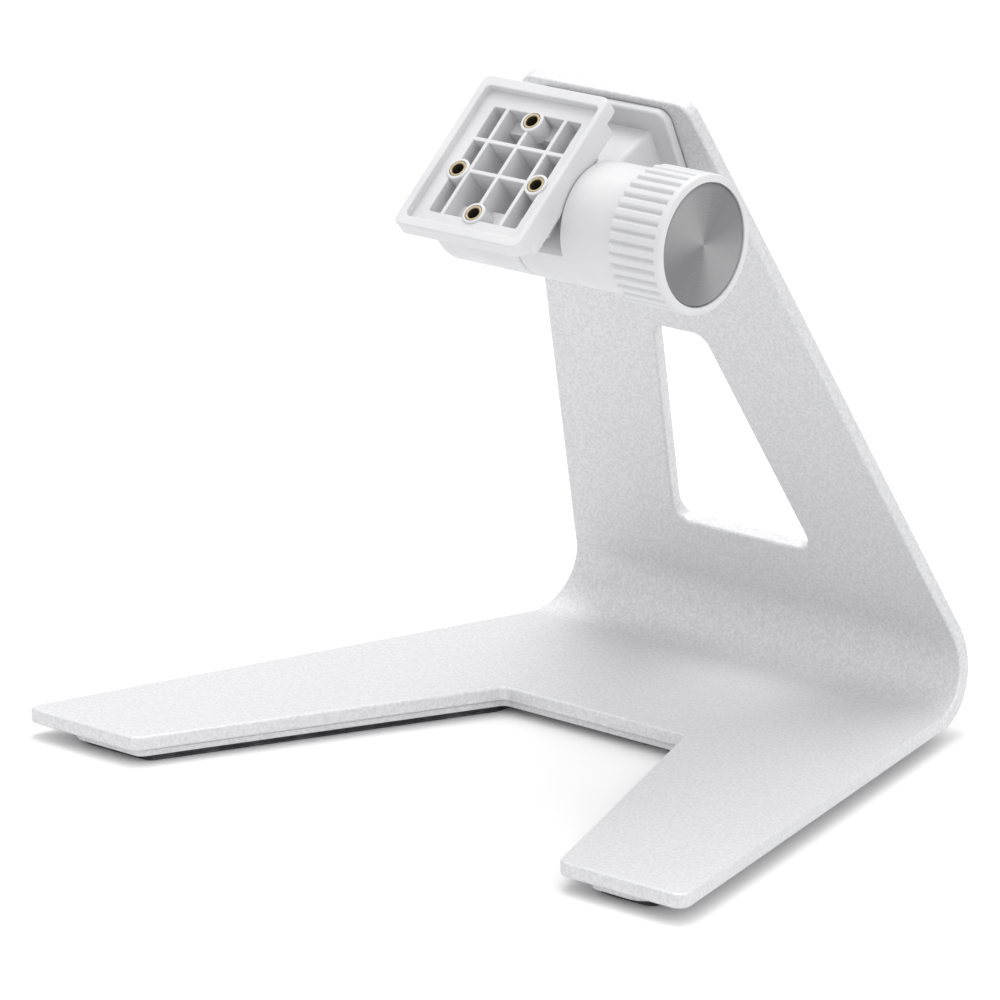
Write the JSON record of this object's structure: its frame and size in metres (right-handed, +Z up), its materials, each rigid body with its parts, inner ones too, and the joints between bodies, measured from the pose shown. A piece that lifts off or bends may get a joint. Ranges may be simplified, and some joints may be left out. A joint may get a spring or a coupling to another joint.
{
  "type": "desktop display stand with tilt hinge",
  "caption": "Bent sheet-metal desk stand with a V-shaped base and a leaning plate, carrying a tilting ribbed mounting plate clamped by a side knob.",
  "frame": {"origin": "on the counter, under the middle of the footprint", "axes": "+Z up, the legs point to -Y, the leaning plate is at +Y, the knob is at +X"},
  "size_m": [0.2262, 0.1762, 0.1817],
  "materials": {
    "silver_sheet": "fine blasted silver",
    "white_plastic": "satin white moulding",
    "grey_steel": "light grey coated steel",
    "dark_rubber": "matt",
    "zinc_steel": "bright zinc plated steel",
    "brass": "machined",
    "friction_fibre": "pressed fibre",
    "natural_nylon": "natural nylon",
    "spun_metal": "circular spun"
  },
  "bodies": {
    "stand": {"stand_plate": "silver_sheet", "weight_plate": "grey_steel", "foot_strip_left": "dark_rubber", "foot_strip_right": "dark_rubber", "hinge_bracket": "white_plastic", "bracket_screw_1": "zinc_steel", "bracket_screw_2": "zinc_steel", "bracket_screw_3": "zinc_steel", "bracket_screw_4": "zinc_steel", "bracket_insert_1": "brass", "bracket_insert_2": "brass", "bracket_insert_3": "brass", "bracket_insert_4": "brass", "clamp_bolt": "zinc_steel", "bolt_washer": "zinc_steel", "disc_spring": "zinc_steel", "friction_ring_fixed": "friction_fibre"},
    "tilt_head": {"mount_plate": "white_plastic", "insert_upper": "brass", "insert_left": "brass", "insert_right": "brass", "insert_lower": "brass", "lug_bush": "natural_nylon", "lug_cap": "white_plastic", "friction_ring_moving": "friction_fibre"},
    "knob_carrier": {"thrust_washer": "natural_nylon"},
    "knob": {"knob_body": "white_plastic", "knob_insert": "brass", "knob_disc": "spun_metal"}
  },
  "joints": [
    {"name": "head_tilt", "type": "hinge", "parent": "stand", "child": "tilt_head", "pos_m": [0, -0.01223, 0.14942], "axis": [1, 0, 0], "range_deg": [-25, 10]},
    {"name": "knob_travel", "type": "slide", "parent": "stand", "child": "knob_carrier", "axis": [1, 0, 0], "range_m": [0, 0.002]},
    {"name": "knob_turn", "type": "hinge", "parent": "knob_carrier", "child": "knob", "pos_m": [0.047, -0.01223, 0.14942], "axis": [1, 0, 0], "range_deg": [0, 720]}
  ],
  "couplings": [
    {"joint": "knob_travel", "follows": "knob_turn", "m_per_rad": 0.00015915}
  ]
}
